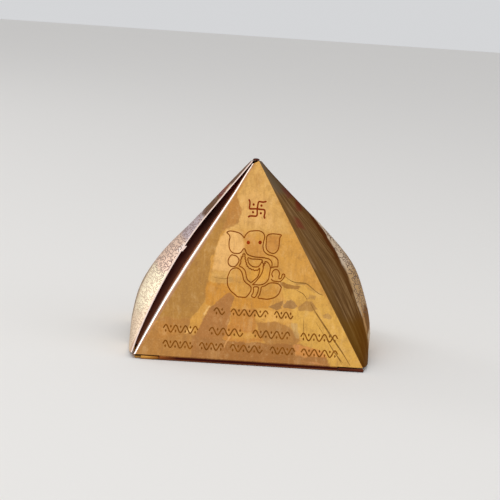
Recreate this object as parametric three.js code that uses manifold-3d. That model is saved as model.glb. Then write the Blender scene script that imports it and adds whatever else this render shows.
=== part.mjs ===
// A vastu pyramid folded from sheet brass and copper: a flat front panel that opens on a hinge at its
// foot, three bowed panels behind it, a base tray, and nine small pyramids on a plate inside.
// Millimetres, +Z up. The origin is the middle of the foot's box, and the front panel faces -Y.
import * as THREE from 'three';
import { mergeVertices } from 'three/addons/utils/BufferGeometryUtils.js';
import Module from 'manifold-3d';

const wasm = await Module();
wasm.setup();

// Driving dimensions
const BASE = 90;                  // width of the pyramid across its foot
const HEIGHT = 75;                // height of the point where the faces would meet
const TIP_LEAN = 0.8;             // how far that point stands left of the middle of the foot
const SHEET = 0.45;               // thickness of the panels' metal
const GAP = 0.35;                 // clearance between pieces that meet
const FOOT_GAP = 0.4;             // height of the bowed panels' lower edges above the table
const LEFT_CORNER_RISE = 1.8;     // how much higher the left panel's front corner ends
const RIGHT_CORNER_RISE = 1.4;    // and the right panel's
const CORNER_CUT = 0.2;           // share of the panel over which that corner rises
const PANEL_TOP = 0.978;          // where the bowed panels are cut off, as a share of the height
const CAP_RISE = 0.75;            // height of the solder cap over them
const CAP_OVER = 0.15;            // how far the cap reaches past the panels' top edges
const DOOR_TOP = 0.981;           // where the front panel is cut off at its right edge
const DOOR_CUT = 0.014;           // how much lower it is cut at its left edge
const DOOR_BEND = 1.0;            // least outer radius of the bend along the front panel's left edge
const BEND_GROWTH = 0.5;          // extra radius for each mm that the bend springs out
const DOOR_FLANGE = 3.2;          // depth of the flange behind that bend
const BARREL_RADIUS = 0.65;       // rolled hinge barrels
const BARREL_FOOT = 0.1;          // their height above the table
const BARREL_SET = 0.8;           // depth of their axis behind the front face
const PIN_RADIUS = 0.3;
const PIN_PLAY = 0.05;            // clearance of the pin in the barrels
const PIN_END = 0.3;              // how far the pin stands out of the outer barrels
const LIP_GAP = 0.15;             // clearance of the front panel's lower lip over the barrels
const LUG_LENGTH = 6.8;           // the tray's barrel at each end of the front panel's
const LUG_IN = 3.7;               // how far the left one stands in from the corner line
const RIGHT_LUG_LONGER = 2.8;     // extra length of the right one, which nearly reaches its corner
const LUG_TONGUE = 7;             // depth of the tongue behind each
const TRAY_FLOOR = 0.8;           // thickness of the tray's floor
const TRAY_RIM = 5.0;             // height of the tray's upturned rim above the table
const TRAY_OPEN = 7;              // how far the rim stays clear of the front
const SEAT_GAP = 0.3;             // clearance under what lies on the tray
const PLATE_SIDE = 63;            // the plate that carries the small pyramids
const PLATE_THICKNESS = 0.8;
const PLATE_BACK = 3;             // how far behind the middle the plate lies
const SMALL_BASE = 17;            // width of each small pyramid
const SMALL_HEIGHT = 11;
const SMALL_TIP = 0.5;            // half width of its flat tip
const SMALL_PITCH = 20;           // their spacing
const STRIP_WIDTH = 5;            // each leg of the seam strips in the rear corners
const STRIP_TOP = 0.8;            // where the seam strips end
const STRIP_FOOT = 2;             // how far above the tray's rim they begin
const TAB_WIDTH = 1.9;            // height of the catch tab bent out of the left panel's front edge
const TAB_REACH = 0.9;
const TAB_HEIGHT = 0.53;          // where it stands, as a share of the height

// How far the bowed panels spring out, in millimetres at these shares of the height: the corner line
// along the left front edge, of which the rear corners have a share, then the belly of each panel
// between its edges, and last the outside of the front panel's left bend
const LEVELS = [0, 0.12, 0.28, 0.45, 0.62, 0.8, 0.92, 1];
const CORNER_BOW = [0.9, 3.4, 5.5, 6.7, 6.4, 3.9, 1.9, 0.7];
const REAR_SHARE = 0.7;
const LEFT_BELLY = [1.1, 3.9, 6.4, 5.4, 2.1, 1.3, 0.9, 0.3];
const RIGHT_BELLY = [3.4, 8.9, 12.5, 14.1, 10.3, 4.9, 1.7, 0.1];
const REAR_BELLY = [1.5, 4.4, 6.8, 5.8, 3.0, 1.6, 0.9, 0.3];
const BEND_BOW = [0.35, 1.6, 2.5, 2.9, 2.2, 1.2, 0.7, 0.1];

// Worked out from those
const HALF = BASE / 2;
const SLOPE = HALF / HEIGHT;                    // inward travel for each mm of height
const SLANT = Math.hypot(1, SLOPE);             // slant length for each mm of height
const LEVEL_SHEET = SHEET * SLANT;              // the sheet's thickness measured on the level
const DOOR_OUT = new THREE.Vector3(0, -1 / SLANT, SLOPE / SLANT);
const BARREL_Z = BARREL_FOOT + BARREL_RADIUS;
const BARREL_Y = -HALF + BARREL_Z * SLOPE + BARREL_SET * SLANT;
const BARREL_HALF = HALF - LUG_IN - LUG_LENGTH - GAP;
const TRAY_FRONT = BARREL_Y + BARREL_RADIUS + GAP;
const LIP_SIDE = BARREL_SET - SHEET;            // the lip's inner corner, across from the hinge axis
const LIP_UP = Math.sqrt((BARREL_RADIUS + LIP_GAP) ** 2 - LIP_SIDE ** 2);
const LIP_Z = BARREL_Z + (BARREL_SET * SLOPE + LIP_UP) / SLANT;

const brass = new THREE.MeshStandardMaterial({ color: 0xc8963c, roughness: 0.34, metalness: 1 });
const etched = new THREE.MeshStandardMaterial({ color: 0xb98a62, roughness: 0.5, metalness: 1 });
const copper = new THREE.MeshStandardMaterial({ color: 0xb06a44, roughness: 0.4, metalness: 1 });
const steel = new THREE.MeshStandardMaterial({ color: 0x8d8a84, roughness: 0.4, metalness: 1 });

const halfWidth = (z) => HALF - SLOPE * z;
const lean = (z) => -TIP_LEAN * (z / HEIGHT);

// A smooth curve through a table of values at LEVELS
function along(table, z) {
  const u = Math.min(1, Math.max(0, z / HEIGHT));
  let i = 0;
  while (i < LEVELS.length - 2 && u > LEVELS[i + 1]) i++;
  const tangent = (k) => {
    const a = Math.max(0, k - 1);
    const b = Math.min(LEVELS.length - 1, k + 1);
    return (table[b] - table[a]) / (LEVELS[b] - LEVELS[a]);
  };
  const span = LEVELS[i + 1] - LEVELS[i];
  const t = (u - LEVELS[i]) / span;
  const h = t * t * (3 - 2 * t);
  const g = t * (1 - t);
  return table[i] * (1 - h) + table[i + 1] * h
    + span * g * (tangent(i) * (1 - t) - tangent(i + 1) * t);
}

// Outer faces, as distances from the leaning middle line, at a height and a share from front to rear
const rearCorner = (z) => halfWidth(z) + along(CORNER_BOW, z) * REAR_SHARE;
const belly = (s, power) => Math.sin(Math.PI * Math.min(1, Math.max(0, s))) ** power;
const leftEdges = (z, s) => halfWidth(z) + along(CORNER_BOW, z) * (1 - (1 - REAR_SHARE) * s);
const leftFace = (z, s) => leftEdges(z, s) + along(LEFT_BELLY, z) * belly(s, 0.8);
const rightEdges = (z, s) => halfWidth(z) + along(CORNER_BOW, z) * REAR_SHARE * s;
const rightFace = (z, s) => rightEdges(z, s) + along(RIGHT_BELLY, z) * belly(s, 0.7);
const rearFace = (z, s) => rearCorner(z) + along(REAR_BELLY, z) * belly(s, 0.8);

// A closed body between an outer and an inner grid of points, rows by columns
function sheetBetween(outer, inner) {
  const rows = outer.length;
  const columns = outer[0].length;
  const position = [];
  for (const grid of [outer, inner]) {
    for (const row of grid) {
      for (const p of row) position.push(p.x, p.y, p.z);
    }
  }
  const at = (side, r, c) => side * rows * columns + r * columns + c;
  const index = [];
  const quad = (a, b, c, d) => index.push(a, b, c, a, c, d);
  for (let r = 0; r < rows - 1; r++) {
    for (let c = 0; c < columns - 1; c++) {
      quad(at(0, r, c), at(0, r, c + 1), at(0, r + 1, c + 1), at(0, r + 1, c));
      quad(at(1, r, c), at(1, r + 1, c), at(1, r + 1, c + 1), at(1, r, c + 1));
    }
    quad(at(0, r, 0), at(0, r + 1, 0), at(1, r + 1, 0), at(1, r, 0));
    quad(at(0, r, columns - 1), at(1, r, columns - 1), at(1, r + 1, columns - 1), at(0, r + 1, columns - 1));
  }
  for (let c = 0; c < columns - 1; c++) {
    quad(at(0, 0, c), at(1, 0, c), at(1, 0, c + 1), at(0, 0, c + 1));
    quad(at(0, rows - 1, c), at(0, rows - 1, c + 1), at(1, rows - 1, c + 1), at(1, rows - 1, c));
  }
  const geometry = new THREE.BufferGeometry();
  geometry.setAttribute('position', new THREE.BufferAttribute(new Float32Array(position), 3));
  geometry.setIndex(index);
  return geometry;
}

// Rows of points from the foot up, where foot and pointAt take a share across
function gridOf(rows, columns, foot, high, pointAt) {
  const grid = [];
  for (let r = 0; r <= rows; r++) {
    const row = [];
    for (let c = 0; c <= columns; c++) {
      const low = foot(c / columns);
      const z = low + (high - low) * (r / rows);
      const point = pointAt(z, c / columns);
      point.x += lean(z);
      row.push(point);
    }
    grid.push(row);
  }
  return grid;
}

function mesh(name, geometry, material) {
  const made = new THREE.Mesh(geometry, material);
  made.name = name;
  return made;
}

function solid(geometry) {
  const plain = geometry.clone();
  plain.deleteAttribute('normal');
  plain.deleteAttribute('uv');
  const merged = mergeVertices(plain, 1e-4);
  return new wasm.Manifold(new wasm.Mesh({
    numProp: 3,
    vertProperties: new Float32Array(merged.attributes.position.array),
    triVerts: new Uint32Array(merged.index.array),
  }));
}

function geometryOf(manifold) {
  const data = manifold.getMesh();
  const geometry = new THREE.BufferGeometry();
  geometry.setAttribute('position', new THREE.BufferAttribute(data.vertProperties, 3));
  geometry.setIndex(new THREE.BufferAttribute(data.triVerts, 1));
  return geometry;
}

// The bowed panels, from just behind the front face to just in front of the rear one
const ROWS = 28;
const PANEL_HIGH = HEIGHT * PANEL_TOP;
const sideFront = (z) => -halfWidth(z) + GAP;
const sideRear = (z) => rearCorner(z) - LEVEL_SHEET - GAP;
const risingFoot = (rise) => (s) => FOOT_GAP + rise * Math.max(0, 1 - s / CORNER_CUT) ** 1.5;

function leftPanel() {
  const foot = risingFoot(LEFT_CORNER_RISE);
  const at = (inset) => gridOf(ROWS, 20, (t) => foot(1 - t), PANEL_HIGH, (z, t) => new THREE.Vector3(
    -leftFace(z, 1 - t) + inset, sideRear(z) + (sideFront(z) - sideRear(z)) * t, z));
  const panel = solid(sheetBetween(at(0), at(LEVEL_SHEET)));
  const low = HEIGHT * TAB_HEIGHT - TAB_WIDTH / 2;
  const lip = (inset) => gridOf(2, 1, () => low, low + TAB_WIDTH, (z, t) => {
    const reach = TAB_REACH * (0.55 + (0.45 * (z - low)) / TAB_WIDTH);
    return new THREE.Vector3(-leftFace(z, 0) + LEVEL_SHEET / 2 + t * (LEVEL_SHEET / 2 + reach), sideFront(z) + inset, z);
  });
  const tab = solid(sheetBetween(lip(0.05), lip(0.05 + LEVEL_SHEET)));
  return mesh('left_panel', geometryOf(panel.add(tab)), etched);
}

function rightPanel() {
  const front = (z) => -halfWidth(z) + LEVEL_SHEET + GAP;
  const at = (inset) => gridOf(ROWS, 20, risingFoot(RIGHT_CORNER_RISE), PANEL_HIGH, (z, s) => new THREE.Vector3(
    rightFace(z, s) - inset, front(z) + (sideRear(z) - front(z)) * s, z));
  return mesh('right_panel', sheetBetween(at(0), at(LEVEL_SHEET)), etched);
}

function rearPanel() {
  const at = (inset) => gridOf(ROWS, 14, () => FOOT_GAP, PANEL_HIGH, (z, s) => new THREE.Vector3(
    rearCorner(z) * (1 - 2 * s), rearFace(z, s) - inset, z));
  return mesh('rear_panel', sheetBetween(at(0), at(LEVEL_SHEET)), etched);
}

// The angle strip inside a rear corner; side is -1 for the left one and 1 for the right one
function seamStrip(name, side) {
  const start = TRAY_RIM + STRIP_FOOT;
  const end = HEIGHT * STRIP_TOP;
  const clear = LEVEL_SHEET + 1.5 * GAP;
  const at = (inset) => {
    const grid = [];
    for (let r = 0; r <= ROWS; r++) {
      const z = start + (end - start) * (r / ROWS);
      const corner = rearCorner(z) - clear;
      const leg = STRIP_WIDTH * Math.min(1, 0.25 + halfWidth(z) / (0.5 * HALF));
      const sideAt = (t) => {
        const y = corner - leg * t;
        const share = 1 - (leg * t) / (sideRear(z) - sideFront(z));
        const face = side < 0 ? leftFace(z, share) : rightFace(z, share);
        return new THREE.Vector3(side * (face - clear - inset) + lean(z), y, z);
      };
      const rearAt = (t) => {
        const x = corner - leg * t;
        const share = (1 - x / rearCorner(z)) / 2;
        return new THREE.Vector3(side * x + lean(z), rearFace(z, share) - clear - inset, z);
      };
      const bend = new THREE.Vector3(side * (corner - inset) + lean(z), corner - inset, z);
      const row = [sideAt(1), sideAt(0.5), bend, rearAt(0.5), rearAt(1)];
      grid.push(side > 0 ? row : row.reverse());
    }
    return grid;
  };
  return mesh(name, sheetBetween(at(0), at(SHEET)), copper);
}

// The low solder dome that closes the bowed panels' tip
function tipCap() {
  const foot = PANEL_HIGH + SEAT_GAP;
  const reachX = (leftFace(PANEL_HIGH, 0.5) + rightFace(PANEL_HIGH, 0.5)) / 2 + CAP_OVER;
  const middleX = (rightFace(PANEL_HIGH, 0.5) - leftFace(PANEL_HIGH, 0.5)) / 2 + lean(PANEL_HIGH);
  const reachY = (rearFace(PANEL_HIGH, 0.5) + halfWidth(PANEL_HIGH)) / 2;
  const middleY = (rearFace(PANEL_HIGH, 0.5) - halfWidth(PANEL_HIGH)) / 2;
  const profile = [new THREE.Vector2(0, 0)];
  for (let k = 0; k <= 6; k++) {
    const turn = (k / 6) * (Math.PI / 2);
    profile.push(new THREE.Vector2(k === 6 ? 0 : Math.cos(turn), 0.25 + 0.75 * Math.sin(turn)));
  }
  profile.splice(1, 0, new THREE.Vector2(1, 0));
  const geometry = new THREE.LatheGeometry(profile, 24);
  geometry.rotateX(Math.PI / 2);
  geometry.scale(reachX, reachY, CAP_RISE);
  geometry.translate(middleX, middleY, foot);
  return mesh('tip_cap', geometry, copper);
}

// A round tube or rod along X on the hinge line
function tube(x, length, outer, inner) {
  const half = length / 2;
  const ring = [[inner, -half], [outer, -half], [outer, half], [inner, half]];
  const profile = inner > 0 ? [...ring, ring[0]] : ring;
  const geometry = new THREE.LatheGeometry(profile.map(([r, h]) => new THREE.Vector2(r, h)), 24);
  geometry.rotateZ(-Math.PI / 2);
  geometry.translate(x, BARREL_Y, BARREL_Z);
  return geometry;
}

// The front panel: flat, with a bend and a flange along its left edge and a barrel rolled at its foot
function frontPanel() {
  const rows = (inset) => {
    const grid = [];
    for (let r = 0; r <= 24; r++) {
      const at = (share) => LIP_Z + (HEIGHT * (DOOR_TOP - DOOR_CUT * (1 - share)) - LIP_Z) * (r / 24);
      const level = at(0);
      const w = halfWidth(level);
      const scale = Math.min(1, 0.35 + w / 12);
      const left = -w - along(BEND_BOW, level) + lean(level);
      const bend = (DOOR_BEND + BEND_GROWTH * along(BEND_BOW, level)) * scale;
      const flange = 0.1 + DOOR_FLANGE * Math.min(scale, (level - LIP_Z) / (2 * DOOR_FLANGE));
      const section = [[left + inset, bend + flange, level]];
      for (let k = 0; k <= 8; k++) {
        const turn = (k / 8) * (Math.PI / 2);
        const radius = bend - inset;
        section.push([left + bend - radius * Math.cos(turn), bend - radius * Math.sin(turn), level]);
      }
      section.push([halfWidth(at(1)) + lean(at(1)), inset, at(1)]);
      grid.push(section.map(([x, depth, z]) => (
        new THREE.Vector3(x, -halfWidth(z), z).addScaledVector(DOOR_OUT, -depth))));
    }
    return grid;
  };
  const leaf = solid(sheetBetween(rows(0), rows(SHEET)));
  const bore = solid(tube(0, 4 * BARREL_HALF, PIN_RADIUS + PIN_PLAY, 0));
  const barrel = solid(tube(0, 2 * BARREL_HALF, BARREL_RADIUS, 0));
  const web = new THREE.BoxGeometry(2 * BARREL_HALF, SHEET, BARREL_RADIUS + LIP_UP);
  web.translate(0, 0, (BARREL_RADIUS + LIP_UP) / 2);
  web.rotateX(-Math.atan(SLOPE));
  web.translate(0, BARREL_Y, BARREL_Z);
  web.translate(0, DOOR_OUT.y * LIP_SIDE, DOOR_OUT.z * LIP_SIDE);
  return mesh('front_panel', geometryOf(leaf.add(barrel).add(solid(web)).subtract(bore)), brass);
}

// A tray lug: a barrel on the hinge line, longer outwards where asked, and a tongue over the tray's floor
function hingeLug(name, side, longer) {
  const x = side * (BARREL_HALF + GAP + LUG_LENGTH / 2);
  const barrel = solid(tube(x + (side * longer) / 2, LUG_LENGTH + longer, BARREL_RADIUS, PIN_RADIUS + PIN_PLAY));
  const top = BARREL_Z + BARREL_RADIUS;
  const under = TRAY_FLOOR + SEAT_GAP;
  const tongue = new THREE.BoxGeometry(LUG_LENGTH, LUG_TONGUE, top - under);
  tongue.translate(x, BARREL_Y + PIN_RADIUS + PIN_PLAY + LUG_TONGUE / 2, (top + under) / 2);
  return mesh(name, geometryOf(barrel.add(solid(tongue))), brass);
}

// The tray: a floor with an upturned rim that follows the bowed panels, open under the front panel
function tray() {
  const within = (face, y) => {
    let least = Infinity;
    for (let z = FOOT_GAP; z <= TRAY_RIM; z += 0.4) {
      const share = (y - sideFront(z)) / (sideRear(z) - sideFront(z));
      least = Math.min(least, face(z, share), face(z, share * 0.98), face(z, Math.min(1, share * 1.02)));
    }
    return least - LEVEL_SHEET - GAP;
  };
  const outline = (inset) => {
    const points = [];
    const rear = within(rearCorner, 0) - inset;
    for (let k = 0; k <= 12; k++) {
      const y = TRAY_FRONT + (rear - TRAY_FRONT) * (k / 12);
      points.push([within(rightFace, y) - inset, y]);
    }
    for (let k = 1; k < 12; k++) {
      const x = rear * (1 - k / 6);
      points.push([x, within(rearFace, -x) - inset]);
    }
    for (let k = 12; k >= 0; k--) {
      const y = TRAY_FRONT + (rear - TRAY_FRONT) * (k / 12);
      points.push([-within(leftFace, y) + inset, y]);
    }
    return new THREE.Shape(points.map(([x, y]) => new THREE.Vector2(x, y)));
  };
  const cut = new THREE.BoxGeometry(4 * HALF, 2 * TRAY_OPEN, TRAY_RIM * 2);
  cut.translate(0, TRAY_FRONT, TRAY_FLOOR + TRAY_RIM);
  const raise = { bevelEnabled: false, depth: TRAY_RIM };
  const hollow = new THREE.ExtrudeGeometry(outline(SHEET), raise);
  hollow.translate(0, 0, TRAY_FLOOR);
  const full = solid(new THREE.ExtrudeGeometry(outline(0), raise));
  return mesh('base_tray', geometryOf(full.subtract(solid(hollow)).subtract(solid(cut))), brass);
}

// A square pyramid with its tip cut flat
function smallPyramid(name, x, y, bottom) {
  const geometry = new THREE.CylinderGeometry(SMALL_TIP, SMALL_BASE / Math.SQRT2, SMALL_HEIGHT, 4, 1);
  geometry.rotateX(Math.PI / 2);
  geometry.rotateZ(Math.PI / 4);
  geometry.translate(x, y, bottom + SMALL_HEIGHT / 2);
  return mesh(name, geometry, copper);
}

const pyramid = new THREE.Group();
pyramid.name = 'vastu_pyramid';
pyramid.add(leftPanel(), rightPanel(), rearPanel(), tipCap());
pyramid.add(seamStrip('rear_left_seam_strip', -1), seamStrip('rear_right_seam_strip', 1));
pyramid.add(frontPanel(), hingeLug('left_hinge_lug', -1, 0), hingeLug('right_hinge_lug', 1, RIGHT_LUG_LONGER));
const pinLength = 2 * (BARREL_HALF + GAP + LUG_LENGTH + PIN_END) + RIGHT_LUG_LONGER;
pyramid.add(mesh('hinge_pin', tube(RIGHT_LUG_LONGER / 2, pinLength, PIN_RADIUS, 0), steel));
pyramid.add(tray());

const plateBottom = TRAY_FLOOR + SEAT_GAP;
const plate = new THREE.BoxGeometry(PLATE_SIDE, PLATE_SIDE, PLATE_THICKNESS);
plate.translate(0, PLATE_BACK, plateBottom + PLATE_THICKNESS / 2);
pyramid.add(mesh('pyramid_plate', plate, copper));
const pyramidBottom = plateBottom + PLATE_THICKNESS + SEAT_GAP;
['front', 'middle', 'rear'].forEach((row, j) => {
  ['left', 'centre', 'right'].forEach((column, i) => {
    const x = (i - 1) * SMALL_PITCH;
    const y = PLATE_BACK + (j - 1) * SMALL_PITCH;
    pyramid.add(smallPyramid(`small_pyramid_${row}_${column}`, x, y, pyramidBottom));
  });
});

// Centre the whole on its own box
pyramid.updateMatrixWorld(true);
const box = new THREE.Box3().setFromObject(pyramid, true);
const middle = box.getCenter(new THREE.Vector3());
for (const piece of pyramid.children) piece.geometry.translate(-middle.x, -middle.y, -box.min.z);

export default pyramid;
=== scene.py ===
"""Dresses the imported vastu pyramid: metal finishes, engraving, floor, light and camera."""
import math
import random

import bmesh
import bpy
from bpy.props import FloatProperty, FloatVectorProperty, PointerProperty
from bpy.types import Operator, Panel, PropertyGroup
from mathutils import Matrix, Vector
from mathutils.bvhtree import BVHTree


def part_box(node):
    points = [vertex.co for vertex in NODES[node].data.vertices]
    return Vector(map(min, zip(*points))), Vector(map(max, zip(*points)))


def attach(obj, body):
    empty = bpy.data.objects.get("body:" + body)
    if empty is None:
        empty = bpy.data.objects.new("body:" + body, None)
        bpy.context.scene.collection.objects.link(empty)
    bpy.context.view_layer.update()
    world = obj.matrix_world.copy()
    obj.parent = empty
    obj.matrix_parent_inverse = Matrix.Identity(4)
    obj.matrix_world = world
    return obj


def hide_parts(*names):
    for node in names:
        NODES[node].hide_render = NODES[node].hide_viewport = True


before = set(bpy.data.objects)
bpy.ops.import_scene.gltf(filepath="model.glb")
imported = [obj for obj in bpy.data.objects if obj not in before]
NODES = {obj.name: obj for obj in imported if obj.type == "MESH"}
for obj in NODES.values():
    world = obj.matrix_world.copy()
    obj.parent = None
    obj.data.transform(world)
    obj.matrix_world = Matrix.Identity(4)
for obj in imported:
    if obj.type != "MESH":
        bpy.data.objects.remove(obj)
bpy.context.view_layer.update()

bl_info = {
    "name": "Vastu Pyramid",
    "version": (1, 1, 0),
    "blender": (4, 5, 0),
    "location": "View3D > Sidebar > Pyramid",
    "description": "Finishes, engraving and stage for a sheet metal vastu pyramid",
    "category": "Object",
}

MM = 0.001
FOOT_HALF = 45.0        # half the pyramid's width at the table, in millimetres
SLOPE = 0.6             # inward travel of each face for each millimetre of height
PLATE_SETBACK = 3.0     # how far the plate lies behind the middle of the foot, in millimetres
FILL_SINK = 0.03        # how deep the fill of a line reaches into the metal, in millimetres
PLATE_LOW, PLATE_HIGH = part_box("pyramid_plate")
MIDDLE_X = (PLATE_LOW.x + PLATE_HIGH.x) / 2 / MM
MIDDLE_Y = (PLATE_LOW.y + PLATE_HIGH.y) / 2 / MM - PLATE_SETBACK


# Node helpers

def feed(node, inputs):
    """Sets inputs of a shader node to constants, or links them to outputs of other nodes."""
    for name, value in inputs.items():
        socket = node.inputs[name]
        if isinstance(value, bpy.types.NodeSocket):
            node.id_data.links.new(value, socket)
        else:
            socket.default_value = (*value, 1) if socket.type == "RGBA" else value


def new_node(tree, kind, inputs, output=0, **settings):
    """One output of a new shader node."""
    node = tree.nodes.new("ShaderNode" + kind)
    for name, value in settings.items():
        setattr(node, name, value)
    feed(node, inputs)
    return node.outputs[output]


def noise(tree, coordinates, scale, detail=4, roughness=0.55, output="Fac"):
    inputs = {"Vector": coordinates, "Scale": scale, "Detail": detail, "Roughness": roughness}
    return new_node(tree, "TexNoise", inputs, output)


def stretched(tree, coordinates, scale):
    return new_node(tree, "Mapping", {"Vector": coordinates, "Scale": scale})


def vector_math(tree, operation, first, second, output="Vector"):
    return new_node(tree, "VectorMath", {0: first, 1: second}, output, operation=operation)


def calc(tree, operation, first, second):
    return new_node(tree, "Math", {0: first, 1: second}, operation=operation)


def furthest(tree, operation, values):
    """The largest or the smallest of several values, by MAXIMUM or MINIMUM."""
    result = values[0]
    for value in values[1:]:
        result = calc(tree, operation, result, value)
    return result


def parts_of(tree, vector):
    node = tree.nodes.new("ShaderNodeSeparateXYZ")
    feed(node, {"Vector": vector})
    return node.outputs


def joined(tree, x, y, z):
    return new_node(tree, "CombineXYZ", {"X": x, "Y": y, "Z": z})


def ramp(tree, factor, stops):
    node = tree.nodes.new("ShaderNodeValToRGB")
    feed(node, {"Fac": factor})
    elements = node.color_ramp.elements
    elements[0].position, elements[1].position = stops[0][0], stops[1][0]
    for place, _ in stops[2:]:
        elements.new(place)
    for element, (_, colour) in zip(elements, stops):
        element.color = (*colour, 1)
    return node.outputs["Color"]


def span(tree, factor, low, high, at_low=0, at_high=1, smooth=False):
    """A factor that goes from one value to another between its low and its high end."""
    inputs = {"Value": factor, "From Min": low, "From Max": high, "To Min": at_low, "To Max": at_high}
    kind = "SMOOTHSTEP" if smooth else "LINEAR"
    return new_node(tree, "MapRange", inputs, "Result", interpolation_type=kind)


def mix(tree, factor, first, second):
    return new_node(tree, "Mix", {0: factor, 6: first, 7: second}, 2, data_type="RGBA")


def layered(tree, paint, layers):
    """Tints over a paint: a factor, its low and high end, how strong the tint is at each, and the tint."""
    for factor, low, high, at_low, at_high, tint in layers:
        paint = mix(tree, span(tree, factor, low, high, at_low, at_high), paint, tint)
    return paint


def bump(tree, height, strength, distance):
    return new_node(tree, "Bump", {"Height": height, "Strength": strength, "Distance": distance})


def millimetres(tree, spot):
    return vector_math(tree, "MULTIPLY", spot, (1 / MM, 1 / MM, 1 / MM))


def new_material(name, metallic, roughness):
    """A material, its node tree, its shader, and the outputs of its texture coordinates."""
    material = bpy.data.materials.new(name)
    material.use_nodes = True
    tree = material.node_tree
    shader = tree.nodes["Principled BSDF"]
    feed(shader, {"Metallic": metallic, "Roughness": roughness})
    return material, tree, shader, tree.nodes.new("ShaderNodeTexCoord").outputs


# Finishes

def shade(red, green, blue):
    """A colour for the shaders from its 0 to 255 values on a colour chart."""
    return tuple(((c / 255 + 0.055) / 1.055) ** 2.4 for c in (red, green, blue))


def scaled(colour, share):
    """A colour made darker, or paler up to white."""
    return tuple(min(1, c * share) for c in colour)


PALE = shade(230, 177, 106)
LIGHT = shade(217, 167, 92)
LEMON = shade(219, 167, 78)
GOLD = shade(209, 151, 68)
HONEY = shade(204, 139, 54)
AMBER = shade(194, 129, 58)
TAN = shade(178, 123, 62)
OLIVE = shade(179, 129, 62)
MAUVE = shade(173, 116, 62)
BROWN = shade(163, 107, 53)
RUST = shade(216, 144, 73)
GREY = shade(168, 124, 74)
PINK = shade(178, 132, 108)

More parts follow.
